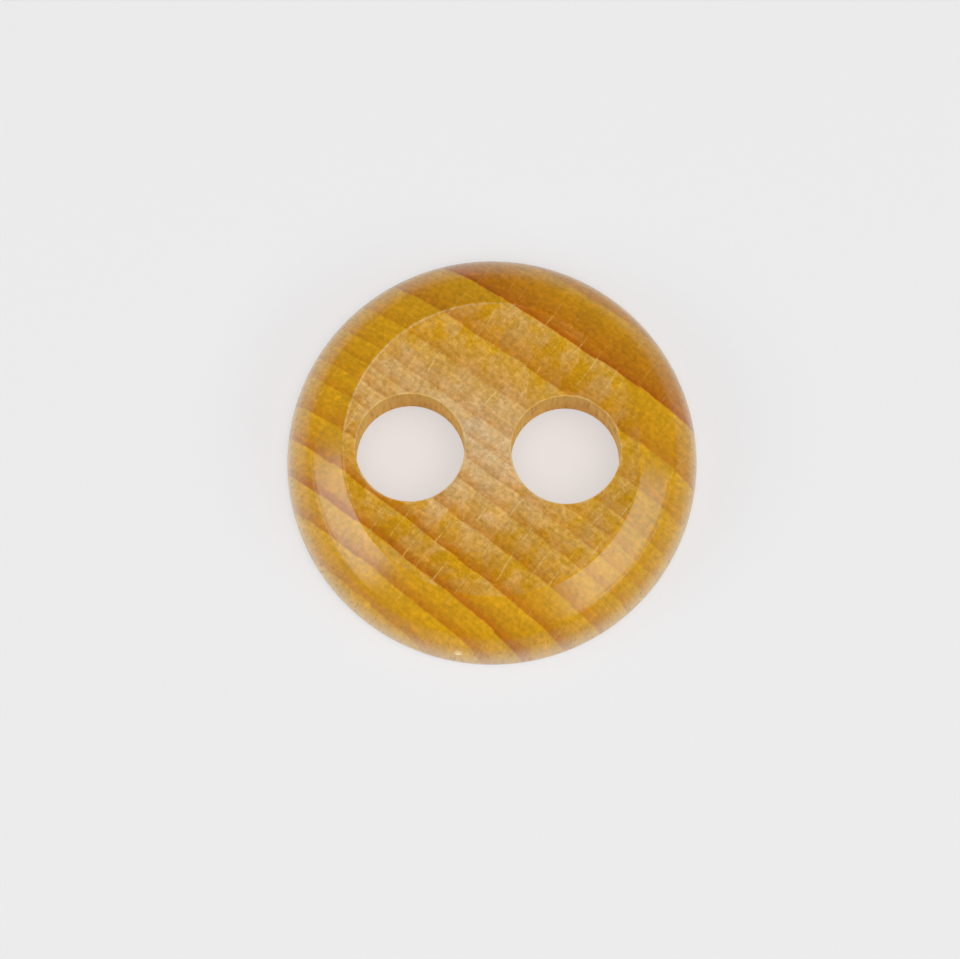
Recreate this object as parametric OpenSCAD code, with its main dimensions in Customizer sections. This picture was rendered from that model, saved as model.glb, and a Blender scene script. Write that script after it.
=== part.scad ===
// Two-hole wooden button, turned from one piece of wood with the end grain showing on its face.
// Units are millimetres. +Z is up, and the front of the button faces up.
// The origin is on the turning axis, in the plane of the flat back.

/* [Overall] */
// Diameter across the widest part, low on the side
outer_d = 25; // [23:0.5:32]
// Height from the flat back to the flat face
thickness = 4.6; // [3.6:0.1:6]

/* [Face] */
// Diameter of the flat face
face_d = 18; // [17:0.1:19]
// Width of the fine rounding along the edge of the flat face
face_round = 0.15; // [0.05:0.05:0.3]

/* [Side] */
// Diameter of the shoulder, where the sloping band turns over into the round side
shoulder_d = 21.8; // [20.5:0.1:22.3]
// How far the shoulder lies below the flat face
shoulder_drop = 1.2; // [0.7:0.1:1.6]
// Radius of the lower edge, where the side turns under
base_round = 0.3; // [0.2:0.05:0.6]

/* [Holes] */
// Diameter of each of the two sewing holes
hole_d = 6.6; // [5:0.1:7]
// Distance between the centres of the two holes
hole_pitch = 9.4; // [9.2:0.1:10]
// How far the pair of holes is drilled off the turning axis
hole_shift = -0.25; // [-0.3:0.05:0.3]
// Width of the fine broken edge at the top of each hole
hole_break = 0.1; // [0.05:0.01:0.2]
// Width of the bevel where each hole comes out of the back
hole_bevel = 0.8; // [0.3:0.05:0.9]

/* [Hidden] */
$fn = 180;
over = 1;
outer_r = outer_d / 2;
face_r = face_d / 2;
hole_r = hole_d / 2;

// The round side is one arc, upright where it meets the lower edge and ending at the shoulder.
shoulder = [shoulder_d / 2, thickness - shoulder_drop];
side_run = outer_r - shoulder.x;
side_rise = shoulder.y - base_round;
side_round = (side_run * side_run + side_rise * side_rise) / (2 * side_run);
side_c = [outer_r - side_round, base_round];

// The face's edge is an arc that touches the flat face and the sloping band.
slope = atan2(shoulder_drop, shoulder.x - face_r);
edge_r = face_round / tan(slope / 2);
edge_c = [face_r - face_round, thickness - edge_r];
edge_end = [face_r + face_round * cos(slope), thickness - face_round * sin(slope)];

// Half of the cross section, from the axis out to the side.
module section() {
    difference() {
        polygon([
            [0, 0],
            [outer_r - base_round, 0],
            [outer_r, base_round],
            shoulder,
            [face_r, thickness],
            [0, thickness]
        ]);
        // the corner that the rounding along the face's edge takes away
        difference() {
            polygon([edge_c + [0, edge_r], [face_r, thickness], edge_end]);
            translate(edge_c)
                circle(r = edge_r);
        }
    }
    // the rounded lower edge
    translate([outer_r - base_round, base_round])
        circle(r = base_round);
    // the round side
    intersection() {
        translate(side_c)
            circle(r = side_round);
        translate([shoulder.x, base_round])
            square([side_run + over, side_rise]);
    }
}

// One sewing hole with its broken upper edge and its bevel at the back.
module sewing_hole() {
    translate([0, 0, -over])
        cylinder(h = thickness + 2 * over, r = hole_r);
    translate([0, 0, thickness - hole_break])
        cylinder(h = 2 * hole_break, r1 = hole_r, r2 = hole_r + 2 * hole_break);
    translate([0, 0, -hole_bevel])
        cylinder(h = 2 * hole_bevel, r1 = hole_r + 2 * hole_bevel, r2 = hole_r);
}

// The whole button: a turned blank with two holes drilled through it.
module button() {
    color([0.78, 0.58, 0.30])
    difference() {
        rotate_extrude()
            section();
        translate([hole_shift - hole_pitch / 2, 0, 0])
            sewing_hole();
        translate([hole_shift + hole_pitch / 2, 0, 0])
            sewing_hole();
    }
}

button();
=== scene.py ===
# %% [markdown]
# # A turned wooden button
# This lesson dresses one small part: a wooden button with two sewing holes, 25 mm across. The CAD frame
# gives its true size and place. Blender adds the finer turned form and the look of lacquered end grain.
# Sizes are written in millimetres and multiplied by MM, because Blender works in metres.

# %% Open the CAD frame
import math

import bpy
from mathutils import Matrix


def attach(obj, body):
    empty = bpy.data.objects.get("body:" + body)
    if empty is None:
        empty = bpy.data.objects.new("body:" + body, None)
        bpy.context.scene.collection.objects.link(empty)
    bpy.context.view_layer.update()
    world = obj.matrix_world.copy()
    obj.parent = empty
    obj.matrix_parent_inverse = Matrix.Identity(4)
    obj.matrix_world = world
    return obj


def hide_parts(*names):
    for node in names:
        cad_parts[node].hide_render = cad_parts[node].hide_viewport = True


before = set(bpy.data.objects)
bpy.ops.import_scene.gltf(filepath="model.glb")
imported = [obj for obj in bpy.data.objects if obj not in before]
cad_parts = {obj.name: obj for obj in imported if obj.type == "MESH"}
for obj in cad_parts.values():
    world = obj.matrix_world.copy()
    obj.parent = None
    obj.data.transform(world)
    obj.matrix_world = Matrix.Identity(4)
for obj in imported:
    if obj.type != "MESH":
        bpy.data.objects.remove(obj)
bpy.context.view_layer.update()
MM = 0.001

# %% [markdown]
# ## The turned blank
# On the real button a blank of wood spins in a lathe, and a shaped cutter leaves the same outline all the
# way round. It could be a Spin of a half outline. Here a circle is extruded ring by ring instead, each ring
# moved down and scaled, because every step then stays on the axis and no seam has to be closed.
# The outline is a list of points, each a radius and a height.

# %% The sizes of the blank, and two helpers that walk along its outline
THICKNESS = 4.6
FACE_R = 9.0
FACE_ROUND = 0.15
SHOULDER = (10.9, 3.4)
OUTER_R = 12.5
BASE_ROUND = 0.3
UP = math.pi / 2


def arc(centre, radius, start, end, steps):
    """Points along an arc of the outline, without its first point; angles are in radians."""
    points = []
    for i in range(1, steps + 1):
        a = start + (end - start) * i / steps
        points.append((centre[0] + radius * math.cos(a), centre[1] + radius * math.sin(a)))
    return points


def straight(start, end, steps):
    """Points along a straight stretch of the outline, without its first point."""
    points = []
    for i in range(1, steps + 1):
        part = i / steps
        points.append((start[0] + (end[0] - start[0]) * part, start[1] + (end[1] - start[1]) * part))
    return points


slope = math.atan2(THICKNESS - SHOULDER[1], SHOULDER[0] - FACE_R)
print("the band slopes at", round(math.degrees(slope), 1), "degrees")

# %% The flat face, its fine rounded edge, and the sloping band
GUARD = 0.06  # a narrow ring beside each flat end, which keeps the shading of the flat part flat
SOFT = 0.35  # how far on each side of the shoulder the softening reaches
EDGE_STEPS = 8  # steps round each small edge
BAND_STEPS = 90  # many, so that the band can carry the cutter's fine lines
edge_round = FACE_ROUND / math.tan(slope / 2)
face_end = FACE_R - FACE_ROUND
band_end = (SHOULDER[0] - SOFT * math.cos(slope), SHOULDER[1] + SOFT * math.sin(slope))
outline = [(face_end - GUARD, THICKNESS), (face_end, THICKNESS)]
outline += arc((face_end, THICKNESS - edge_round), edge_round, UP, UP - slope, EDGE_STEPS)
outline += straight(outline[-1], band_end, BAND_STEPS)
print("the band ends at radius and height", [round(v, 3) for v in band_end])

# %% The round side is one arc from the shoulder down to the rounded lower edge
SIDE_TILT = math.radians(37)  # how far below level the side starts at the shoulder
side_end = (OUTER_R, BASE_ROUND)
chord = math.hypot(side_end[0] - SHOULDER[0], side_end[1] - SHOULDER[1])
chord_tilt = math.atan2(SHOULDER[1] - side_end[1], side_end[0] - SHOULDER[0])
half_turn = chord_tilt - SIDE_TILT
side_round = chord / (2 * math.sin(half_turn))
side_centre = (
    SHOULDER[0] - side_round * math.sin(SIDE_TILT),
    SHOULDER[1] - side_round * math.cos(SIDE_TILT),
)
side_start = UP - SIDE_TILT - SOFT / side_round
side_top = arc(side_centre, side_round, side_start, side_start, 1)[0]
print("the side's arc has a radius of", round(side_round, 2), "mm")

# %% The shoulder between them is worn soft, so a smooth curve leads from the band into the side
SOFT_STEPS = 20
SIDE_STEPS = 44
for i in range(1, SOFT_STEPS + 1):
    part = i / SOFT_STEPS
    outline.append(tuple(
        band_end[k] * (1 - part) ** 2 + SHOULDER[k] * 2 * part * (1 - part) + side_top[k] * part ** 2
        for k in (0, 1)
    ))
outline += arc(side_centre, side_round, side_start, UP - SIDE_TILT - 2 * half_turn, SIDE_STEPS)
outline += arc((OUTER_R - BASE_ROUND, BASE_ROUND), BASE_ROUND, 0, -UP, EDGE_STEPS)
outline.append((OUTER_R - BASE_ROUND - GUARD, 0))
print("outline points:", len(outline))

# %% [markdown]
# The cutter left a few hair-fine lines round the band. They could be painted as a bump, but a real groove
# also catches the light from other sides, so each is pressed into the outline: a radius and a depth.

# %% Press the cutter's lines into the outline
TURNING_LINES = [(9.62, 0.0008), (10.08, 0.0006), (10.47, 0.0018), (10.62, 0.0012), (10.9, 0.0035)]
LINE_WIDTH = 0.035
LINES_FROM = FACE_R + 0.3  # the lines start beyond the face's edge
LINES_DOWN_TO = SHOULDER[1] - 0.4  # and end just below the shoulder
for i, (r, z) in enumerate(outline):
    if r > LINES_FROM and z > LINES_DOWN_TO:
        depth = sum(d * math.exp(-((r - at) / LINE_WIDTH) ** 2) for at, d in TURNING_LINES)
        outline[i] = (r - depth * math.sin(slope), z - depth * math.cos(slope))
print("cutter's lines:", len(TURNING_LINES))

# %% Extrude the circle ring by ring, and close its two flat ends
BLANK_SIDES = 288
bpy.ops.object.select_all(action="DESELECT")
bpy.ops.mesh.primitive_circle_add(
    vertices=BLANK_SIDES, radius=outline[0][0] * MM, fill_type="NOTHING", location=(0, 0, THICKNESS * MM)
)
button = bpy.context.object
button.name = "turned_button"
bpy.ops.object.transform_apply(location=True, rotation=True, scale=True)
bpy.ops.object.mode_set(mode="EDIT")
bpy.ops.mesh.select_all(action="SELECT")
for before, after in zip(outline, outline[1:]):
    bpy.ops.mesh.extrude_edges_move(TRANSFORM_OT_translate={"value": (0, 0, (after[1] - before[1]) * MM)})
    grow = after[0] / before[0]
    bpy.ops.transform.resize(value=(grow, grow, 1), center_override=(0, 0, after[1] * MM))
bpy.ops.mesh.edge_face_add()
bpy.ops.mesh.select_all(action="DESELECT")
bpy.ops.mesh.select_mode(type="EDGE")
bpy.ops.mesh.select_non_manifold()
bpy.ops.mesh.edge_face_add()
bpy.ops.mesh.select_all(action="SELECT")
bpy.ops.mesh.normals_make_consistent(inside=False)
bpy.ops.object.mode_set(mode="OBJECT")
print("blank:", len(button.data.polygons), "faces")

# %% [markdown]
# ## The two sewing holes
# The holes were drilled through the blank. The drill left a fine broken edge on the face, and a wider bevel
# where it came out of the back. The holes could be cut as plain cylinders and bevelled afterwards. Here a
# cutter gets that whole outline once and is copied for the second hole, so both come out alike.

# %% The outline of the drill, from below the back to above the face
HOLE_R = 3.3
HOLE_PITCH = 9.4
HOLE_SHIFT = -0.25  # the pair sits a little off the turning axis
HOLE_ROUND = 0.08
HOLE_BEVEL = 0.8
LIFT = 0.01  # the rounding ends this far above the face, so that the cut leaves no sliver
WALL_STEPS = 4
ROUND_END = UP + 0.2  # the rounding stops just short of level
round_z = THICKNESS - HOLE_ROUND + LIFT
flare = (HOLE_R + HOLE_ROUND + 0.1, THICKNESS + 0.05)  # above the face, the drill flares clear of it
drill_outline = [(HOLE_R + 2 * HOLE_BEVEL, -HOLE_BEVEL), (HOLE_R, HOLE_BEVEL)]
drill_outline += straight(drill_outline[-1], (HOLE_R, round_z), WALL_STEPS)
drill_outline += arc((HOLE_R + HOLE_ROUND, round_z), HOLE_ROUND, math.pi, ROUND_END, EDGE_STEPS)
drill_outline.append(flare)
print("drill outline points:", len(drill_outline))

# %% Make one drill by extruding its rings, and copy it for the second hole
DRILL_SIDES = 192
bpy.ops.object.select_all(action="DESELECT")
bpy.ops.mesh.primitive_circle_add(
    vertices=DRILL_SIDES, radius=drill_outline[0][0] * MM, fill_type="NOTHING",
    location=(0, 0, drill_outline[0][1] * MM),
)
drill = bpy.context.object
drill.name = "drill_left"
bpy.ops.object.transform_apply(location=True, rotation=True, scale=True)
bpy.ops.object.mode_set(mode="EDIT")
bpy.ops.mesh.select_all(action="SELECT")
bpy.ops.mesh.edge_face_add()
for before, after in zip(drill_outline, drill_outline[1:]):
    bpy.ops.mesh.extrude_region_move(TRANSFORM_OT_translate={"value": (0, 0, (after[1] - before[1]) * MM)})
    grow = after[0] / before[0]
    bpy.ops.transform.resize(value=(grow, grow, 1), center_override=(0, 0, after[1] * MM))
bpy.ops.mesh.select_all(action="SELECT")
bpy.ops.mesh.normals_make_consistent(inside=False)
bpy.ops.object.mode_set(mode="OBJECT")
hole_x = (HOLE_SHIFT - HOLE_PITCH / 2, HOLE_SHIFT + HOLE_PITCH / 2)
bpy.ops.transform.translate(value=(hole_x[0] * MM, 0, 0))
bpy.ops.object.duplicate()
drill_right = bpy.context.object
drill_right.name = "drill_right"
bpy.ops.transform.translate(value=(HOLE_PITCH * MM, 0, 0))
print("drills at x =", [round(d.location.x / MM, 2) for d in (drill, drill_right)])

# %% [markdown]
# ## A small chip
# A knock has taken a crumb of wood out of the front of the round side, low down. It could be a pale dot of
# colour, but a dent also shades itself. So a small stretched ball, set half into the side, is a third cutter.

# %% Place the ball that knocks the chip out
CHIP_AT = (-1.87, -12.12, 1.75)
CHIP_R = 0.22
CHIP_STRETCH = 1.3
bpy.ops.mesh.primitive_ico_sphere_add(
    subdivisions=3, radius=CHIP_R * MM, location=[v * MM for v in CHIP_AT]
)
knock = bpy.context.object
knock.name = "knock"
knock.scale = (CHIP_STRETCH, 1, 1)
print("chip at", CHIP_AT, "mm")

# %% Cut the holes and the chip
WELD = 0.0005  # points closer than this after the cuts are one point
bpy.ops.object.select_all(action="DESELECT")
button.select_set(True)
bpy.context.view_layer.objects.active = button
for cutter in (drill, drill_right, knock):
    cut = button.modifiers.new("cut", "BOOLEAN")
    cut.operation = "DIFFERENCE"
    cut.solver = "EXACT"
    cut.object = cutter
    bpy.ops.object.modifier_apply(modifier=cut.name)
    bpy.data.objects.remove(cutter)
bpy.ops.object.mode_set(mode="EDIT")
bpy.ops.mesh.select_all(action="SELECT")
bpy.ops.mesh.remove_doubles(threshold=WELD * MM)
bpy.ops.mesh.normals_make_consistent(inside=False)
bpy.ops.object.mode_set(mode="OBJECT")
print("drilled:", len(button.data.polygons), "faces")

# %% [markdown]
# ## Smooth turning, flat face
# Turned wood runs smoothly from the band into the side, while the face and the back are truly flat. Smooth
# shading alone would bend the light over the flat parts. Sharp turns therefore stay sharp, and Weighted
# Normal lets the large flat faces lead. The finished button then takes the place of its plain CAD node.

# %% Smooth the turned surfaces and keep the flat ones flat
SHARP_TURN = math.radians(28)
FLAT_LEAD = 80
bpy.ops.object.shade_smooth_by_angle(angle=SHARP_TURN)
flat = button.modifiers.new("flat faces lead", "WEIGHTED_NORMAL")
flat.keep_sharp = True
flat.weight = FLAT_LEAD
bpy.ops.object.modifier_apply(modifier=flat.name)
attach(button, "root")
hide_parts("button")
print("button stands", round(button.dimensions.z / MM, 3), "mm high")

# %% [markdown]
# ## Lacquered beech, cut across the grain
# The button is cut across the tree, so its face shows growth rings as bands. Each ring starts dark along a
# sharp line, and fades to pale wood up to the next line. Fine pale rays cross the rings, and small pores dot
# the flat face. The lacquer has warmed the colour to honey and shines more on the turned band.
# A photograph of wood could be laid on, but it would stop at the edges. Here the wood is a pattern in space,
# so that every ring runs on from the face over the band and down the side, as in a real block.
# The node used most is Map Range: a reading from From Min to From Max becomes a share from To Min to To Max.

# %% Two helpers: one for colours, and one that adds a node
def colour(code):
    """Turn an sRGB hex colour into the linear colour that Blender uses."""
    values = []
    for i in (0, 2, 4):
        c = int(code[i:i + 2], 16) / 255
        values.append(c / 12.92 if c <= 0.04045 else ((c + 0.055) / 1.055) ** 2.4)
    return (values[0], values[1], values[2], 1)


def add_node(tree, kind, inputs, **settings):
    """Add a node with its settings. Each input gets a value, a socket's link, or a node's own result."""
    node = tree.nodes.new(kind)
    for key, value in settings.items():
        setattr(node, key, value)
    for key, value in inputs.items():
        if isinstance(value, bpy.types.Node):
            value = [socket for socket in value.outputs if socket.enabled][0]
        if isinstance(value, bpy.types.NodeSocket):
            tree.links.new(value, node.inputs[key])
        else:
            node.inputs[key].default_value = value
    return node


EARLY_WOOD = "D69B0A"
LATE_WOOD = "B86800"
print("pale wood in linear light:", [round(v, 3) for v in colour(EARLY_WOOD)])

# %% [markdown]
# ### The growth rings
# A Wave texture could draw rings, but no two years here are alike. So the place of each year's line is
# listed in mm from the middle of the button, with how dark its wood is and which share of the year stays
# dark. A Color Ramp holds only 32 stops, so the rings are split between two ramps.

# %% List the rings: the line's place in mm, how dark it is, and the share of the year that stays dark
RINGS = [
    (-11.75, 0.65, 0.35),
    (-10.1, 0.8, 0.35),
    (-8.5, 1.05, 0.3),
    (-6.55, 0.9, 0.35),
    (-4.55, 0.68, 0.4),
    (-2.6, 0.52, 0.4),
    (-1.3, 0.46, 0.4),
    (-0.2, 0.42, 0.4),
    (1.1, 0.4, 0.4),
    (3.1, 0.45, 0.4),
    (5.35, 0.75, 0.4),
    (8.15, 1.2, 0.6),
    (11.4, 0.6, 0.4),
]
HALF_WAY = -0.7
WOOD_END = 13.0


def ring_colour(depth):
    """The wood's colour, from 0 for pale early wood to 1 for dark late wood, and a little past it."""
    early = colour(EARLY_WOOD)
    late = colour(LATE_WOOD)
    return tuple(max(0, early[i] + (late[i] - early[i]) * depth) for i in range(3)) + (1,)


print("years:", len(RINGS), "from", RINGS[0][0], "to", RINGS[-1][0], "mm")

# %% Start the wood: its own directions in mm, with x along the rings and y across them
# Lacquered beech, turned across the grain: to the eye a warm honey brown in bands, with a soft shine.
RING_TURN = math.radians(35)
PER_M = 1000  # millimetres in a metre
FIBRE_CHANGE = 0.02  # the fibres run straight down, so a pattern hardly changes with height
FACE_FROM = THICKNESS - 0.05
FACE_TO = THICKNESS - 0.01
wood = bpy.data.materials.new("lacquered_beech_end_grain")
wood.use_nodes = True
tree = wood.node_tree
shader = tree.nodes["Principled BSDF"]
place = add_node(tree, "ShaderNodeTexCoord", {}).outputs["Object"]
grain = add_node(tree, "ShaderNodeMapping", {
    "Vector": place, "Rotation": (0, 0, RING_TURN), "Scale": (PER_M, PER_M, PER_M),
})
fibre = add_node(tree, "ShaderNodeMapping", {"Vector": grain, "Scale": (1, 1, FIBRE_CHANGE)})
along, cross, _ = add_node(tree, "ShaderNodeSeparateXYZ", {0: fibre}).outputs
height = add_node(tree, "ShaderNodeSeparateXYZ", {0: grain}).outputs[2]
face = add_node(tree, "ShaderNodeMapRange", {0: height, "From Min": FACE_FROM, "From Max": FACE_TO})
print("rings are turned by", round(math.degrees(RING_TURN)), "degrees")

# %% Let the rings wander, step from block to block between the rays, and fan out a little
# Blocks of fibres between rays are about 1.2 mm wide and 2 mm deep.
BLOCKS_PER_MM = (0.85, 0.5, 1)
BLOCK_STEP_MM = 0.1
WANDER_PER_MM = 0.16
WANDER_MM = (-0.14, 0.06)
FAN = -0.005  # shrinks the reading, so the rings spread by 0.5 % for each mm along them
wander = add_node(tree, "ShaderNodeTexNoise", {"Vector": fibre, "Scale": WANDER_PER_MM, "Detail": 1.0})
wander_mm = add_node(tree, "ShaderNodeMapRange", {
    0: wander, "From Min": 0.2, "From Max": 0.8, "To Min": WANDER_MM[0], "To Max": WANDER_MM[1],
})
block_at = add_node(tree, "ShaderNodeMapping", {"Vector": fibre, "Scale": BLOCKS_PER_MM})
blocks = add_node(
    tree, "ShaderNodeTexVoronoi", {"Vector": block_at, "Scale": 1.0},
    voronoi_dimensions="2D", distance="CHEBYCHEV",
)
block_step, block_shade, block_thin = add_node(
    tree, "ShaderNodeSeparateColor", {0: blocks.outputs["Color"]},
).outputs
shift = add_node(
    tree, "ShaderNodeMath", {0: block_step, 1: BLOCK_STEP_MM, 2: wander_mm}, operation="MULTIPLY_ADD",
)
fan = add_node(tree, "ShaderNodeMath", {0: along, 1: FAN, 2: 1.0}, operation="MULTIPLY_ADD")
across = add_node(tree, "ShaderNodeMath", {0: cross, 1: fan, 2: shift}, operation="MULTIPLY_ADD")
print("blocks of", [round(1 / v, 1) for v in BLOCKS_PER_MM[:2]], "mm")

# %% Lay the rings: each line rises sharply from pale wood, then fades over the year
END_DARK = 0.25  # how dark the wood is at the two outer ends of the list
halves = []
for low, high in ((-WOOD_END, HALF_WAY), (HALF_WAY, WOOD_END)):
    at = add_node(tree, "ShaderNodeMapRange", {0: across, "From Min": low, "From Max": high})
    ramp = add_node(tree, "ShaderNodeValToRGB", {0: at})
    stops = ramp.color_ramp.elements
    stops[0].position = 0
    stops[0].color = ring_colour(END_DARK)
    stops[1].position = 1
    stops[1].color = ring_colour(END_DARK)
    for i, (line, depth, share) in enumerate(RINGS):
        if low < line < high:
            year = (RINGS[i + 1][0] if i + 1 < len(RINGS) else WOOD_END) - line
            # mm from the line, and how dark the wood is there
            fade = ((-0.05, 0), (0.03, depth), (0.34, depth * 0.75), (share * year, depth * 0.42))
            for offset, dark in fade:
                if line + offset < high:
                    stop = stops.new((line + offset - low) / (high - low))
                    stop.color = ring_colour(dark)
    halves.append(ramp)
    print("ring ramp from", low, "to", high, "has", len(stops), "stops")
upper = add_node(tree, "ShaderNodeMath", {0: across, 1: HALF_WAY}, operation="GREATER_THAN")
rings = add_node(tree, "ShaderNodeMix", {0: upper, 6: halves[0], 7: halves[1]}, data_type="RGBA")

# %% [markdown]
# ### Tone and pores
# Close up, the wood is never one colour. Blocks of fibres differ a little, streaks follow the rings, and a
# fine fleck covers everything. One noise could do it all, but these three have different real sizes, so each
# has its own and they are multiplied. Beech pores are dark dots between the rays, open on the sanded face.

# %% Vary the tone by block, streak and fleck
# Streaks are about 1.7 mm long and 0.2 mm wide, and flecks about 0.3 mm across.
# A noise mostly reads 0.3 to 0.7, which becomes a tone a little below or above 1.
STREAKS_PER_MM = (0.6, 5, 1)
FLECKS_PER_MM = 3.4
BLOCK_TONE = (0.93, 1.06)
STREAK_TONE = (0.9, 1.09)
FLECK_TONE = (0.76, 1.22)
block_tone = add_node(tree, "ShaderNodeMapRange", {
    0: block_shade, "To Min": BLOCK_TONE[0], "To Max": BLOCK_TONE[1],
})
streak_at = add_node(tree, "ShaderNodeMapping", {"Vector": fibre, "Scale": STREAKS_PER_MM})
streaks = add_node(tree, "ShaderNodeTexNoise", {"Vector": streak_at, "Scale": 1.0, "Detail": 4.0})
streak_tone = add_node(tree, "ShaderNodeMapRange", {
    0: streaks, "From Min": 0.3, "From Max": 0.7, "To Min": STREAK_TONE[0], "To Max": STREAK_TONE[1],
})
flecks = add_node(tree, "ShaderNodeTexNoise", {
    "Vector": fibre, "Scale": FLECKS_PER_MM, "Detail": 4.0, "Roughness": 0.75,
})
fleck_tone = add_node(tree, "ShaderNodeMapRange", {
    0: flecks, "From Min": 0.3, "From Max": 0.7, "To Min": FLECK_TONE[0], "To Max": FLECK_TONE[1],
})
tone = add_node(tree, "ShaderNodeMath", {0: block_tone, 1: streak_tone}, operation="MULTIPLY")
tone_all = add_node(tree, "ShaderNodeMath", {0: tone, 1: fleck_tone}, operation="MULTIPLY")
plain = add_node(
    tree, "ShaderNodeMix", {0: 1.0, 6: rings, 7: tone_all}, data_type="RGBA", blend_type="MULTIPLY",
)
print("flecks of", round(1 / FLECKS_PER_MM, 2), "mm")

# %% Dot the pores, mostly on the flat face
# Real beech pores are 0.06 to 0.1 mm wide, which is too fine to show. They are drawn about twice as coarse.
PORES_PER_MM = (3.6, 7, 1)
PORE_SHARE = 0.5
PORE_BROWN = "9A6208"
ON_BAND = 0.35  # how much of the pores and rays still shows through the lacquer of the band
pore_at = add_node(tree, "ShaderNodeMapping", {"Vector": fibre, "Scale": PORES_PER_MM})
pores = add_node(tree, "ShaderNodeTexNoise", {"Vector": pore_at, "Scale": 1.0, "Detail": 3.0})
pore_dots = add_node(tree, "ShaderNodeMapRange", {
    0: pores, "From Min": 0.6, "From Max": 0.72, "To Min": 0.0, "To Max": PORE_SHARE,
})
face_share = add_node(tree, "ShaderNodeMapRange", {0: face, "To Min": ON_BAND, "To Max": 1.0})
pore_mask = add_node(tree, "ShaderNodeMath", {0: pore_dots, 1: face_share}, operation="MULTIPLY")
toned = add_node(tree, "ShaderNodeMix", {0: pore_mask, 6: plain, 7: colour(PORE_BROWN)}, data_type="RGBA")
print("pores drawn", round(1 / PORES_PER_MM[1], 2), "mm wide")

# %% [markdown]
# ### The rays
# Rays are thin plates of pale cells that run from the tree's middle to its bark, so on end grain they are
# fine pale lines across the rings. They could be modelled as scratches, but they are flat. A one-dimensional
# Voronoi gives lines at uneven spacing. A noise breaks each one up, and the flecks turn it into beads.

# %% Place the rays across the rings
# Most real rays are under 0.05 mm wide, too fine to show. A few are drawn, coarser, about 1.1 mm apart.
RAYS_PER_MM = 0.9
RAY_FADE = (0.015, 0.05)  # where a ray starts to fade and where it ends, as shares of the spacing
DRIFT_PER_MM = 0.25
DRIFT_MM = 0.8
ray_drift = add_node(tree, "ShaderNodeTexNoise", {"Vector": fibre, "Scale": DRIFT_PER_MM, "Detail": 1.0})
ray_across = add_node(tree, "ShaderNodeMath", {0: ray_drift, 1: DRIFT_MM, 2: along}, operation="MULTIPLY_ADD")
rays = add_node(
    tree, "ShaderNodeTexVoronoi", {"W": ray_across, "Scale": RAYS_PER_MM},
    voronoi_dimensions="1D", feature="DISTANCE_TO_EDGE",
)
ray_line = add_node(tree, "ShaderNodeMapRange", {
    0: rays.outputs["Distance"], "From Min": RAY_FADE[0], "From Max": RAY_FADE[1],
    "To Min": 1.0, "To Max": 0.0,
})
print("rays", round(1 / RAYS_PER_MM, 1), "mm apart")

# %% Break the rays up, and show them most clearly on the flat face
RAY_PARTS_PER_MM = (1.2, 0.7, 1)
RAY_SHARE = 0.62
RAY_CREAM = "DDBB66"
ray_part_at = add_node(tree, "ShaderNodeMapping", {"Vector": fibre, "Scale": RAY_PARTS_PER_MM})
ray_parts = add_node(tree, "ShaderNodeTexNoise", {"Vector": ray_part_at, "Scale": 1.0, "Detail": 2.0})
ray_part = add_node(tree, "ShaderNodeMapRange", {
    0: ray_parts, "From Min": 0.46, "From Max": 0.6, "To Min": 0.0, "To Max": RAY_SHARE,
})
ray_show = add_node(tree, "ShaderNodeMath", {0: ray_part, 1: face_share}, operation="MULTIPLY")
beads = add_node(tree, "ShaderNodeMapRange", {
    0: flecks, "From Min": 0.38, "From Max": 0.56, "To Min": 0.25, "To Max": 1.0,
})
ray_beads = add_node(tree, "ShaderNodeMath", {0: ray_line, 1: beads}, operation="MULTIPLY")
ray_mask = add_node(tree, "ShaderNodeMath", {0: ray_beads, 1: ray_show}, operation="MULTIPLY")
with_rays = add_node(tree, "ShaderNodeMix", {0: ray_mask, 6: toned, 7: colour(RAY_CREAM)}, data_type="RGBA")
print("ray parts about", round(1 / RAY_PARTS_PER_MM[1], 1), "mm long")

# %% [markdown]
# ### Painted sheen on the face
# The satin face shows a pale sheen, strongest near its middle, and here it is painted into the colour. A
# second wood colour could be mixed in, but that would hide the rings. Less saturation and a little more
# light keep every line. The painted sheen is held back on the dark wood, so it pales less.

# %% Find where the sheen is painted: most near the middle
# The painted sheen is longer along the rings than across them.
SHEEN_AT = (-2.1, -0.8)  # in mm along the rings and across them
SHEEN_LONG = 1.6
SHEEN_REACH = (1.5, 8.8)
SHEEN_SHARE = (0.74, 0.12)
sheen_plan = add_node(tree, "ShaderNodeMapping", {"Vector": fibre, "Scale": (1, SHEEN_LONG, 0)})
sheen_middle = (SHEEN_AT[0], SHEEN_AT[1] * SHEEN_LONG, 0)
from_middle = add_node(
    tree, "ShaderNodeVectorMath", {0: sheen_plan, 1: sheen_middle}, operation="DISTANCE",
)
# The share of painted sheen, strongest at its middle.
middle_sheen = add_node(tree, "ShaderNodeMapRange", {
    0: from_middle, "From Min": SHEEN_REACH[0], "From Max": SHEEN_REACH[1],
    "To Min": SHEEN_SHARE[0], "To Max": SHEEN_SHARE[1],
})
print("rubbed most at", SHEEN_AT, "mm along and across the rings")

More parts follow.
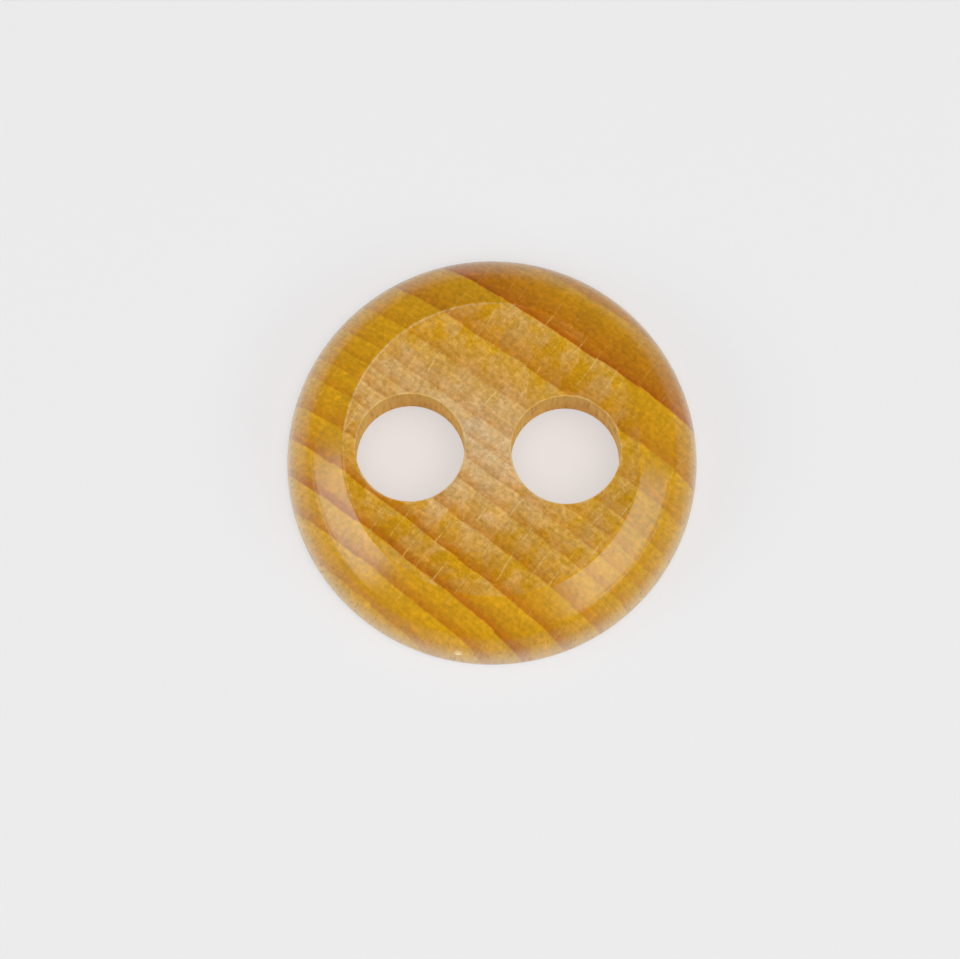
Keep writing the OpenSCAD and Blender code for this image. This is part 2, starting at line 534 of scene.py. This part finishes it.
# %% Make it a little uneven, and hold it back on the dark wood
BLOTCHES_PER_MM = 1.1
BLOTCH_HAZE = 0.1
FLECK_HAZE = 0.06
BLOCK_HAZE = 0.1
GREEN_RANGE = (0.12, 0.3)  # from dark wood to pale wood, in linear light
blotch = add_node(tree, "ShaderNodeTexNoise", {"Vector": fibre, "Scale": BLOTCHES_PER_MM, "Detail": 3.0})
blotch_haze = add_node(tree, "ShaderNodeMapRange", {
    0: blotch, "From Min": 0.35, "From Max": 0.65, "To Min": -BLOTCH_HAZE, "To Max": BLOTCH_HAZE,
})
fleck_haze = add_node(tree, "ShaderNodeMapRange", {
    0: flecks, "From Min": 0.35, "From Max": 0.65, "To Min": -FLECK_HAZE, "To Max": FLECK_HAZE,
})
block_haze = add_node(tree, "ShaderNodeMapRange", {
    0: block_thin, "To Min": -BLOCK_HAZE, "To Max": BLOCK_HAZE,
})
haze_blocks = add_node(tree, "ShaderNodeMath", {0: middle_sheen, 1: block_haze}, operation="ADD")
haze = add_node(tree, "ShaderNodeMath", {0: haze_blocks, 1: blotch_haze}, operation="ADD")
haze_all = add_node(tree, "ShaderNodeMath", {0: haze, 1: fleck_haze}, operation="ADD", use_clamp=True)
# Pale wood has more green in it than dark wood, so green tells the two apart.
ring_green = add_node(tree, "ShaderNodeSeparateColor", {0: rings}).outputs[1]
early_share = add_node(tree, "ShaderNodeMapRange", {
    0: ring_green, "From Min": GREEN_RANGE[0], "From Max": GREEN_RANGE[1], "To Min": 0.0, "To Max": 1.0,
})
early_face = add_node(tree, "ShaderNodeMath", {0: early_share, 1: face}, operation="MULTIPLY")
painted_sheen_mask = add_node(tree, "ShaderNodeMath", {0: haze_all, 1: early_face}, operation="MULTIPLY")
print("blotches about", round(1 / BLOTCHES_PER_MM, 1), "mm across")

# %% Paint the sheen there by paling the wood, and darken it where the lacquer pooled beside the right hole
POOLED_AT = (8.2, -2.6, THICKNESS)
POOLED_REACH = (1.2, 3.6)
POOLED_DARK = 0.09
FACE_TONE = 0.93
SHEEN_SATURATION = 0.58
SHEEN_LIGHT = 0.14
pool_centre = [v * MM for v in POOLED_AT]
from_pool = add_node(tree, "ShaderNodeVectorMath", {0: place, 1: pool_centre}, operation="DISTANCE")
pooled = add_node(tree, "ShaderNodeMapRange", {
    0: from_pool, "From Min": POOLED_REACH[0] * MM, "From Max": POOLED_REACH[1] * MM,
    "To Min": POOLED_DARK, "To Max": 0.0,
})
pooled_face = add_node(tree, "ShaderNodeMath", {0: pooled, 1: face}, operation="MULTIPLY")
face_tone = add_node(tree, "ShaderNodeMapRange", {0: face, "To Min": 1.0, "To Max": FACE_TONE})
darker = add_node(tree, "ShaderNodeMath", {0: face_tone, 1: pooled_face}, operation="SUBTRACT")
# Painted sheen: the wood pales and lightens where the sheen would shine.
paler = add_node(tree, "ShaderNodeMapRange", {0: painted_sheen_mask, "To Min": 1.0, "To Max": SHEEN_SATURATION})
lighter = add_node(
    tree, "ShaderNodeMath", {0: painted_sheen_mask, 1: SHEEN_LIGHT, 2: darker}, operation="MULTIPLY_ADD",
)
with_painted_sheen = add_node(tree, "ShaderNodeHueSaturation", {"Color": with_rays, "Saturation": paler, "Value": lighter})
print("lacquer pooled at", POOLED_AT, "mm")

# %% [markdown]
# ### The drilled walls
# Inside the holes the wood is bare and its fibres run up and down, with a few dark ones that the drill tore.
# The walls could get a material of their own, but then the rings would stop at the edge. The distance to the
# nearer hole's axis is measured instead, and the wood is changed only at the drill's radius.

# %% Measure how far a point is from the nearer hole's axis
WALL_TO = (HOLE_R + 0.01) * MM
WALL_END = (HOLE_R + HOLE_ROUND) * MM
in_plan = add_node(tree, "ShaderNodeVectorMath", {0: place, 1: (1, 1, 0)}, operation="MULTIPLY")
to_axes = []
for x in hole_x:
    to_axes.append(add_node(
        tree, "ShaderNodeVectorMath", {0: in_plan, 1: (x * MM, 0, 0)}, operation="DISTANCE",
    ))
to_hole = add_node(tree, "ShaderNodeMath", {0: to_axes[0], 1: to_axes[1]}, operation="MINIMUM")
bare = add_node(tree, "ShaderNodeMapRange", {
    0: to_hole, "From Min": WALL_TO, "From Max": WALL_END, "To Min": 1.0, "To Max": 0.0,
})
print("hole axes at x =", [round(x, 2) for x in hole_x], "mm")

# %% Bare the walls, paler partly as painted light on them, with torn fibres as thin upright ticks
# Torn fibres are drawn 0.2 mm wide and about 2 mm long. Real ones are finer and wouldn't show.
TORN_SHAPE = (1.8, 1.8, 0.16)
TORN_PER_MM = 2.8
TORN_SHARE = (0.5, 0.3)  # low on the wall and high on it
# The bare wood is paler partly by its own colour and partly as painted light falling on the walls.
BARE_AND_LIT_SHARE = (0.85, 0.45)
BARE_AND_LIT_BEECH = "F8C964"
TORN_BROWN = "8A5818"
torn_at = add_node(tree, "ShaderNodeMapping", {"Vector": grain, "Scale": TORN_SHAPE})
torn = add_node(tree, "ShaderNodeTexNoise", {"Vector": torn_at, "Scale": TORN_PER_MM, "Detail": 4.0})
bare_and_lit_share = add_node(tree, "ShaderNodeMapRange", {
    0: torn, "From Min": 0.3, "From Max": 0.7, "To Min": BARE_AND_LIT_SHARE[0], "To Max": BARE_AND_LIT_SHARE[1],
})
bare_and_lit_wood = add_node(
    tree, "ShaderNodeMix", {0: bare_and_lit_share, 6: with_painted_sheen, 7: colour(BARE_AND_LIT_BEECH)}, data_type="RGBA",
)
torn_low = add_node(tree, "ShaderNodeMapRange", {
    0: height, "From Min": HOLE_BEVEL, "From Max": THICKNESS - 0.2,
    "To Min": TORN_SHARE[0], "To Max": TORN_SHARE[1],
})
ticks = add_node(tree, "ShaderNodeMapRange", {
    0: torn, "From Min": 0.58, "From Max": 0.7, "To Min": 0.0, "To Max": torn_low,
})
ticked = add_node(tree, "ShaderNodeMix", {0: ticks, 6: bare_and_lit_wood, 7: colour(TORN_BROWN)}, data_type="RGBA")
bored = add_node(tree, "ShaderNodeMix", {0: bare, 6: with_painted_sheen, 7: ticked}, data_type="RGBA")
print("torn fibres", round(1 / (TORN_SHAPE[0] * TORN_PER_MM), 2), "mm wide")

# %% Paint a pale highlight on the holes' rounded upper edges, here and there
RIM_FROM = (HOLE_R + HOLE_ROUND - 0.01) * MM
RIM_END = (HOLE_R + 2 * HOLE_ROUND) * MM
PAINTED_RIM_SHARE = 0.4
PAINTED_RIM_HIGHLIGHT = "E2C48C"
rim = add_node(tree, "ShaderNodeMapRange", {
    0: to_hole, "From Min": RIM_FROM, "From Max": RIM_END, "To Min": 1.0, "To Max": 0.0,
})
rim_highlight_patches = add_node(tree, "ShaderNodeMapRange", {
    0: blotch, "From Min": 0.45, "From Max": 0.6, "To Min": 0.0, "To Max": PAINTED_RIM_SHARE,
})
rim_top = add_node(tree, "ShaderNodeMath", {0: rim, 1: face}, operation="MULTIPLY")
rim_highlight_mask = add_node(tree, "ShaderNodeMath", {0: rim_top, 1: rim_highlight_patches}, operation="MULTIPLY")
# Painted highlight on the holes' rounded rims.
with_rim_highlight = add_node(tree, "ShaderNodeMix", {0: rim_highlight_mask, 6: bored, 7: colour(PAINTED_RIM_HIGHLIGHT)}, data_type="RGBA")
print("nodes up to the holes' edges:", len(tree.nodes))

# %% [markdown]
# ### Painted light and wear
# The edge of the face catches the light at the back left as a fine pale line, and that highlight is painted.
# Low on the side a pale reflection of the table is painted all round, and the back left is painted lighter,
# as if lit more. A few torn fibres are dark, and the chip shows fresh wood, painted a little paler against
# its shade. Each could be a separate decal, but a mask from a distance in mm stays put on the shape.

# %% Paint a fine pale highlight on the edge of the face, at the back left
BACK_LEFT = (-0.8, 0.6, 0)
EDGE_LINE_R = FACE_R - 0.02
EDGE_LINE_FADE = (0.03, 0.09)  # how far from that radius the pale line starts to fade, and where it ends
EDGE_HIGHLIGHT_REACH = (3.0, 8.0)  # how far towards that side the highlight starts, and where it is full
EDGE_HIGHLIGHT_SHARE = 0.45
PAINTED_EDGE_HIGHLIGHT = "E6CC9C"
from_axis = add_node(tree, "ShaderNodeVectorMath", {0: in_plan}, operation="LENGTH")
edge_off = add_node(tree, "ShaderNodeMath", {0: from_axis, 1: EDGE_LINE_R * MM}, operation="SUBTRACT")
edge_away = add_node(tree, "ShaderNodeMath", {0: edge_off}, operation="ABSOLUTE")
edge_line = add_node(tree, "ShaderNodeMapRange", {
    0: edge_away, "From Min": EDGE_LINE_FADE[0] * MM, "From Max": EDGE_LINE_FADE[1] * MM,
    "To Min": 1.0, "To Max": 0.0,
})
towards_back_left = add_node(tree, "ShaderNodeVectorMath", {0: in_plan, 1: BACK_LEFT}, operation="DOT_PRODUCT")
highlight_side = add_node(tree, "ShaderNodeMapRange", {
    0: towards_back_left, "From Min": EDGE_HIGHLIGHT_REACH[0] * MM, "From Max": EDGE_HIGHLIGHT_REACH[1] * MM,
    "To Min": 0.0, "To Max": EDGE_HIGHLIGHT_SHARE,
})
above = add_node(tree, "ShaderNodeMapRange", {
    0: height, "From Min": THICKNESS - 0.3, "From Max": THICKNESS - 0.2,
})
highlight_top = add_node(tree, "ShaderNodeMath", {0: highlight_side, 1: above}, operation="MULTIPLY")
highlight_line = add_node(tree, "ShaderNodeMath", {0: highlight_top, 1: edge_line}, operation="MULTIPLY")
# Painted highlight along the edge of the face.
edge_highlight_mask = add_node(tree, "ShaderNodeMath", {0: highlight_line, 1: beads}, operation="MULTIPLY")
with_edge_highlight = add_node(tree, "ShaderNodeMix", {0: edge_highlight_mask, 6: with_rim_highlight, 7: colour(PAINTED_EDGE_HIGHLIGHT)}, data_type="RGBA")
print("worn line at radius", EDGE_LINE_R, "mm")

# %% Paint a pale reflection of the table low on the side, and paint the back left side lighter
# Each pair of heights in mm says where the effect starts to fade and where it ends.
TABLE_REFLECTION_HEIGHTS = (1.2, 2.35)
TABLE_REFLECTION_SHARE = 0.3
PAINTED_LIGHT_HEIGHTS = (2.5, 3.3)
PAINTED_LIGHT_REACH = (1.0, 10.0)
PAINTED_LIGHT_SHARE = 0.14
PALE_REFLECTION_AND_LIGHT = "F0DDB8"
off_holes = add_node(tree, "ShaderNodeMath", {0: 1.0, 1: bare}, operation="SUBTRACT")
# A painted reflection of the table, pale low on the side all round.
low = add_node(tree, "ShaderNodeMapRange", {
    0: height, "From Min": TABLE_REFLECTION_HEIGHTS[0], "From Max": TABLE_REFLECTION_HEIGHTS[1], "To Min": TABLE_REFLECTION_SHARE, "To Max": 0.0,
})
# Painted light: the back left side is lighter, as if lit more from there.
painted_light_side = add_node(tree, "ShaderNodeMapRange", {
    0: towards_back_left, "From Min": PAINTED_LIGHT_REACH[0] * MM, "From Max": PAINTED_LIGHT_REACH[1] * MM,
    "To Min": 0.0, "To Max": PAINTED_LIGHT_SHARE,
})
painted_light_low = add_node(tree, "ShaderNodeMapRange", {
    0: height, "From Min": PAINTED_LIGHT_HEIGHTS[0], "From Max": PAINTED_LIGHT_HEIGHTS[1],
    "To Min": painted_light_side, "To Max": 0.0,
})
reflection_and_light = add_node(tree, "ShaderNodeMath", {0: low, 1: painted_light_low}, operation="ADD")
reflection_and_light_mask = add_node(tree, "ShaderNodeMath", {0: reflection_and_light, 1: off_holes}, operation="MULTIPLY")
with_reflection_and_light = add_node(
    tree, "ShaderNodeMix", {0: reflection_and_light_mask, 6: with_edge_highlight, 7: colour(PALE_REFLECTION_AND_LIGHT)}, data_type="RGBA",
)
print("lacquer low on the side is thinner by up to", TABLE_REFLECTION_SHARE + PAINTED_LIGHT_SHARE)

# %% Show the torn fibres of the side, off the back and the holes
TICK_HEIGHTS = (2.4, 3.3)
TICK_SHARE = 0.4
BACK_EDGE = (0.05, 0.3)  # heights between which the ticks begin
SIDE_TICK = "8A5A14"
side = add_node(tree, "ShaderNodeMapRange", {
    0: height, "From Min": TICK_HEIGHTS[0], "From Max": TICK_HEIGHTS[1], "To Min": TICK_SHARE, "To Max": 0.0,
})
off_back = add_node(tree, "ShaderNodeMapRange", {
    0: height, "From Min": BACK_EDGE[0], "From Max": BACK_EDGE[1],
})
torn_fibres = add_node(tree, "ShaderNodeMapRange", {0: torn, "From Min": 0.58, "From Max": 0.68})
side_only = add_node(tree, "ShaderNodeMath", {0: side, 1: off_back}, operation="MULTIPLY")
side_ticks = add_node(tree, "ShaderNodeMath", {0: side_only, 1: torn_fibres}, operation="MULTIPLY")
tick_mask = add_node(tree, "ShaderNodeMath", {0: side_ticks, 1: off_holes}, operation="MULTIPLY")
ticked_side = add_node(
    tree, "ShaderNodeMix", {0: tick_mask, 6: with_reflection_and_light, 7: colour(SIDE_TICK)}, data_type="RGBA",
)
print("nodes up to the side:", len(tree.nodes))

# %% Show fresh wood in the chip, painted a little paler against the shade in the dent
CHIP_REACH = 0.3
FRESH_AND_LIT_SHARE = 0.75
FRESH_AND_LIT_WOOD = "F2DCA8"
chip_centre = [v * MM for v in CHIP_AT]
to_chip = add_node(tree, "ShaderNodeVectorMath", {0: place, 1: chip_centre}, operation="DISTANCE")
# The chip's fresh wood, also painted paler against the shade inside the dent.
fresh_and_lit = add_node(tree, "ShaderNodeMapRange", {
    0: to_chip, "From Min": CHIP_R * MM, "From Max": CHIP_REACH * MM, "To Min": FRESH_AND_LIT_SHARE, "To Max": 0.0,
})
chipped = add_node(
    tree, "ShaderNodeMix", {0: fresh_and_lit, 6: ticked_side, 7: colour(FRESH_AND_LIT_WOOD)}, data_type="RGBA",
)
print("fresh wood within", CHIP_REACH, "mm of the chip")

# %% [markdown]
# ### Gloss and relief
# Satin lacquer is about as glossy as an eggshell, and its IOR is 1.5. On the band it shows the lights as soft
# pale crescents. The face and the hole walls are dull. The flecks also lift the surface by about two
# hundredths of a millimetre on the face, which breaks up its sheen.
# The face was sanded nearly bare, so it gets a copy of the wood with hardly any shine. One material could
# mix both, but the export keeps a specular level only when it is a plain number on the shader.

# %% Set the gloss and the fine relief
LACQUER_IOR = 1.5
BAND_ROUGH = 0.24
DULL_ROUGH = 0.75
RELIEF = 0.04 * MM
RELIEF_SHARE = (0.05, 0.5)  # on the band and on the face
dull = add_node(tree, "ShaderNodeMath", {0: bare, 1: face}, operation="MAXIMUM")
gloss = add_node(tree, "ShaderNodeMapRange", {0: dull, "To Min": BAND_ROUGH, "To Max": DULL_ROUGH})
relief_share = add_node(tree, "ShaderNodeMapRange", {
    0: face, "To Min": RELIEF_SHARE[0], "To Max": RELIEF_SHARE[1],
})
relief = add_node(tree, "ShaderNodeBump", {"Strength": relief_share, "Distance": RELIEF, "Height": flecks})
tree.links.new(chipped.outputs[2], shader.inputs["Base Color"])
tree.links.new(gloss.outputs[0], shader.inputs["Roughness"])
tree.links.new(relief.outputs[0], shader.inputs["Normal"])
shader.inputs["IOR"].default_value = LACQUER_IOR
button.data.materials.clear()
button.data.materials.append(wood)
print("wood nodes:", len(tree.nodes))

# %% Give the flat face its sanded copy
# Sanded beech with a trace of lacquer: to the eye the same wood, but matt, with no highlight on it.
SANDED_SHINE = 0.12
FACE_DEPTH = 0.075
NEARLY_LEVEL = 0.8
sanded = wood.copy()
sanded.name = "sanded_beech_end_grain"
sanded.node_tree.nodes["Principled BSDF"].inputs["Specular IOR Level"].default_value = SANDED_SHINE
button.data.materials.append(sanded)
face_low = (THICKNESS - FACE_DEPTH) * MM
flat_parts = [p for p in button.data.polygons if p.center.z > face_low and p.normal.z > NEARLY_LEVEL]
for part in flat_parts:
    part.material_index = 1
print("sanded faces:", len(flat_parts))

# %% [markdown]
# ## The table
# The button lies on a matt white table. A very bright lamp could make the table white, but it would also
# bleach the wood. So the table's own paint is pale, and part of it glows, for the eye and for reflections
# only. The rest is ordinary paint, which keeps the button's soft shadow.

# %% Lay the table
# Matt white paint: to the eye an even, nearly white ground with a soft shadow and no shine.
TABLE_SIZE = 3  # in metres
TABLE_GAP = 0.01  # keeps the table just clear of the button's back
PAINT_WHITE = "F1ECEB"
PAINT_ROUGH = 0.9
PAINT_SHINE = 0.2
bpy.ops.object.select_all(action="DESELECT")
bpy.ops.mesh.primitive_plane_add(size=TABLE_SIZE, location=(0, 0, -TABLE_GAP * MM))
table = bpy.context.object
table.name = "table"
table_paint = bpy.data.materials.new("matt_white_table")
table_paint.use_nodes = True
paint = table_paint.node_tree
table_shader = paint.nodes["Principled BSDF"]
table_shader.inputs["Base Color"].default_value = colour(PAINT_WHITE)
table_shader.inputs["Roughness"].default_value = PAINT_ROUGH
table_shader.inputs["Specular IOR Level"].default_value = PAINT_SHINE
table.data.materials.append(table_paint)
print("table:", table.name, "with paint", table_paint.name)

# %% Let part of the paint glow, where the camera or a reflection sees it
GLOW_WHITE = "EAEAEB"
GLOW_SHARE = 0.62
ray = add_node(paint, "ShaderNodeLightPath", {}).outputs
mirrored = add_node(
    paint, "ShaderNodeMath", {0: ray["Is Glossy Ray"], 1: ray["Is Transmission Ray"]}, operation="MAXIMUM",
)
seen = add_node(paint, "ShaderNodeMath", {0: ray["Is Camera Ray"], 1: mirrored}, operation="MAXIMUM")
glow_share = add_node(paint, "ShaderNodeMath", {0: seen, 1: GLOW_SHARE}, operation="MULTIPLY")
glow = add_node(paint, "ShaderNodeEmission", {"Color": colour(GLOW_WHITE), "Strength": 1.0})
lit_table = add_node(paint, "ShaderNodeMixShader", {0: glow_share, 1: table_shader, 2: glow})
paint.links.new(lit_table.outputs[0], paint.nodes["Material Output"].inputs["Surface"])
print("paint nodes:", len(paint.nodes))

# %% [markdown]
# ## The light
# Two long soft lights stand low at the left and right, and draw the two crescents on the band. A large one
# hangs overhead and lights the face. They could be lamps of any power. Here each is given by how bright its
# surface looks, times pi and its area, so that resizing it doesn't change how bright its reflection is.
# A pale wall low around the table and a dim ceiling fill the shadows, as a real room does.

# %% Set the lights: name, direction and height in degrees, distance and size in m, brightness, tint
LIGHTS = [
    ("right_light", -27, 31.5, 0.7, (0.7, 0.16), 5.2, "D0ECF8"),
    ("left_light", 195, 29.5, 0.7, (0.54, 0.22), 4.9, "DCF2FF"),
    ("top_light", -40, 82, 0.8, (0.66, 0.66), 2.95, "FFFAF4"),
]
for name, azimuth, elevation, distance, size, radiance, tint in LIGHTS:
    a = math.radians(azimuth)
    e = math.radians(elevation)
    out = distance * math.cos(e)
    spot = (out * math.cos(a), out * math.sin(a), distance * math.sin(e))
    bpy.ops.object.light_add(type="AREA", location=spot, rotation=(UP - e, 0, a + UP))
    lamp = bpy.context.object
    lamp.name = name
    lamp.data.shape = "RECTANGLE"
    lamp.data.size = size[0]
    lamp.data.size_y = size[1]
    lamp.data.energy = radiance * math.pi * size[0] * size[1]
    lamp.data.color = colour(tint)[:3]
    print(name, "at", [round(v, 3) for v in spot], "gives", round(lamp.data.energy, 2), "W")

# %% Light the room: a pale wall low around the table, and a dim ceiling that is brighter overhead
CEILING_LIGHT = (0.03, 0.36)
WALL_TOP = (0.05, 0.1)
WALL_LIGHT = 0.8
ROOM_WHITE = "F4F5F8"
world = bpy.data.worlds.new("studio")
world.use_nodes = True
sky = world.node_tree
towards = add_node(sky, "ShaderNodeTexCoord", {}).outputs["Generated"]
rise = add_node(sky, "ShaderNodeSeparateXYZ", {0: towards}).outputs[2]
ceiling = add_node(sky, "ShaderNodeMapRange", {
    0: rise, "From Min": 0.0, "From Max": 1.0, "To Min": CEILING_LIGHT[0], "To Max": CEILING_LIGHT[1],
})
wall = add_node(sky, "ShaderNodeMapRange", {
    0: rise, "From Min": WALL_TOP[0], "From Max": WALL_TOP[1], "To Min": WALL_LIGHT, "To Max": 0.0,
})
level = add_node(sky, "ShaderNodeMath", {0: ceiling, 1: wall}, operation="MAXIMUM")
sky.nodes["Background"].inputs["Color"].default_value = colour(ROOM_WHITE)
sky.links.new(level.outputs[0], sky.nodes["Background"].inputs["Strength"])
bpy.context.scene.world = world
print("room nodes:", len(sky.nodes))

# %% [markdown]
# ## The camera
# The photograph was taken from steeply above, a little towards the front, with a long lens. The camera could
# be aimed with a Track To constraint. Here it is placed by its distance and two angles from the point that it
# looks at on the table, because those are what the photograph's perspective gives.

# %% Place the camera
TILT = math.radians(79.38)
TURN = math.radians(0.908)
DISTANCE = 300.42
AIM = (-0.73, -1.027)
SENSOR = 36
FOCAL_PIXELS = 4916
IMAGE_WIDTH = 960
CLOSEST = 0.01  # in metres, since the button is small
aim = (
    AIM[0] * math.cos(TURN) - AIM[1] * math.sin(TURN),
    AIM[0] * math.sin(TURN) + AIM[1] * math.cos(TURN),
)
stand = (
    (aim[0] + DISTANCE * math.sin(TURN) * math.cos(TILT)) * MM,
    (aim[1] - DISTANCE * math.cos(TURN) * math.cos(TILT)) * MM,
    DISTANCE * math.sin(TILT) * MM,
)
bpy.ops.object.camera_add(location=stand, rotation=(UP - TILT, 0, TURN))
camera = bpy.context.object
camera.data.sensor_fit = "HORIZONTAL"
camera.data.sensor_width = SENSOR
camera.data.lens = FOCAL_PIXELS / IMAGE_WIDTH * SENSOR
camera.data.clip_start = CLOSEST
bpy.context.scene.camera = camera
bpy.context.scene.view_settings.view_transform = "Standard"
print("camera at", [round(v, 4) for v in stand])
